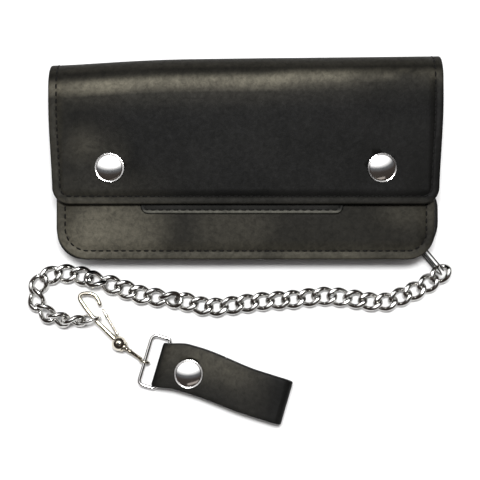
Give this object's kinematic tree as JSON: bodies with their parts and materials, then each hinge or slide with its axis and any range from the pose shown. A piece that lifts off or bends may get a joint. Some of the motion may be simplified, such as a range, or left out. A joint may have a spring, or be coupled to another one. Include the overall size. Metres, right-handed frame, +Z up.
{
  "type": "chain wallet",
  "caption": "Long leather flap wallet with snap closures, a curb chain on a split ring, and a trigger hook with a leather belt-loop fob.",
  "frame": {"origin": "middle of the back cover's outer face, the face that the wallet lies on", "axes": "+X along the wallet's length, towards the split ring; +Y towards the fold; +Z up, out of the flap"},
  "size_m": [0.2176, 0.186, 0.0252],
  "materials": {
    "hide": "oiled pull-up, semi-gloss",
    "lining": "matte",
    "chrome": "polished"
  },
  "bodies": {
    "wallet_back": {"back_cover": "hide", "fold_spine": "hide", "bill_divider": "hide", "gusset_left": "hide", "gusset_right": "hide", "grommet": "chrome"},
    "flap": {"flap_cover": "hide", "snap_cap_left": "chrome", "snap_cap_right": "chrome", "snap_socket_left": "chrome", "snap_socket_right": "chrome"},
    "front": {"front_panel": "hide", "card_section": "lining", "card_pocket": "hide", "snap_stud_left": "chrome", "snap_stud_right": "chrome"},
    "ring": {"split_ring": "chrome"},
    "chain_a": {"link_01": "chrome", "link_02": "chrome", "link_03": "chrome", "link_04": "chrome", "link_05": "chrome", "link_06": "chrome", "link_07": "chrome", "link_08": "chrome"},
    "chain_b": {"link_09": "chrome", "link_10": "chrome", "link_11": "chrome", "link_12": "chrome", "link_13": "chrome", "link_14": "chrome", "link_15": "chrome", "link_16": "chrome"},
    "chain_c": {"link_17": "chrome", "link_18": "chrome", "link_19": "chrome", "link_20": "chrome", "link_21": "chrome", "link_22": "chrome", "link_23": "chrome", "link_24": "chrome"},
    "chain_d": {"link_25": "chrome", "link_26": "chrome", "link_27": "chrome", "link_28": "chrome", "link_29": "chrome", "link_30": "chrome", "link_31": "chrome", "link_32": "chrome", "link_33": "chrome"},
    "hook": {"hook_body": "chrome"},
    "gate": {"hook_gate": "chrome"},
    "eye": {"swivel_eye": "chrome"},
    "strap_ring": {"strap_ring": "chrome"},
    "fob_lower": {"fob_lower_leaf": "hide", "fob_fold": "hide", "fob_snap_stud": "chrome"},
    "fob_upper": {"fob_upper_leaf": "hide", "fob_snap_cap": "chrome", "fob_snap_socket": "chrome"}
  },
  "joints": [
    {"name": "flap_hinge", "type": "hinge", "parent": "wallet_back", "child": "flap", "pos_m": [0, 0.05301, 0.01259], "axis": [-1, 0, 0], "range_deg": [0, 170], "deforming": ["fold_spine"]},
    {"name": "front_hinge", "type": "hinge", "parent": "wallet_back", "child": "front", "pos_m": [0, -0.0505, 0.009], "axis": [1, 0, 0], "range_deg": [0, 12], "deforming": ["gusset_left", "gusset_right"]},
    {"name": "ring_swing", "type": "hinge", "parent": "wallet_back", "child": "ring", "pos_m": [0.08823, -0.04361, 0.0078], "axis": [0, 0, 1], "range_deg": [0, 25]},
    {"name": "chain_lift_a", "type": "hinge", "parent": "ring", "child": "chain_a", "pos_m": [0.1001, -0.0586, 0.0032], "axis": [0, 1, 0], "range_deg": [0, 30]},
    {"name": "chain_lift_b", "type": "hinge", "parent": "chain_a", "child": "chain_b", "pos_m": [0.0443, -0.0702, 0.0026], "axis": [0, 1, 0], "range_deg": [0, 30]},
    {"name": "chain_bend_c", "type": "hinge", "parent": "chain_b", "child": "chain_c", "pos_m": [-0.0192, -0.0753, 0.0026], "axis": [0, 0, 1], "range_deg": [0, 10]},
    {"name": "chain_bend_d", "type": "hinge", "parent": "chain_c", "child": "chain_d", "pos_m": [-0.0811, -0.0606, 0.0026], "axis": [0, 0, 1], "range_deg": [-12, 0]},
    {"name": "hook_swing", "type": "hinge", "parent": "chain_d", "child": "hook", "pos_m": [-0.0772, -0.0817, 0.004], "axis": [0, 0, 1], "range_deg": [0, 12]},
    {"name": "gate_hinge", "type": "hinge", "parent": "hook", "child": "gate", "pos_m": [-0.066, -0.0893, 0.004], "axis": [0, 0, 1], "range_deg": [0, 9], "stiffness_Nm_per_rad": 0.01, "springref_deg": -11.46},
    {"name": "eye_swivel", "type": "hinge", "parent": "hook", "child": "eye", "pos_m": [-0.0648, -0.0943, 0.004], "axis": [0.8117, -0.5807, -0.0626], "continuous": true},
    {"name": "ring_tilt", "type": "hinge", "parent": "eye", "child": "strap_ring", "pos_m": [-0.05184, -0.10357, 0.003], "axis": [-0.2807, -0.9598, 0], "range_deg": [0, 60]},
    {"name": "fob_tilt", "type": "hinge", "parent": "strap_ring", "child": "fob_lower", "pos_m": [-0.0424, -0.1055, 0.003], "axis": [-0.2807, -0.9598, 0], "range_deg": [0, 60]},
    {"name": "fob_open", "type": "hinge", "parent": "fob_lower", "child": "fob_upper", "pos_m": [0.02181, -0.12428, 0.0046], "axis": [0.2807, 0.9598, 0], "range_deg": [0, 170], "deforming": ["fob_fold"]}
  ],
  "couplings": [
    {"joint": "front_hinge", "follows": "flap_hinge", "ratio": 0.0686}
  ]
}
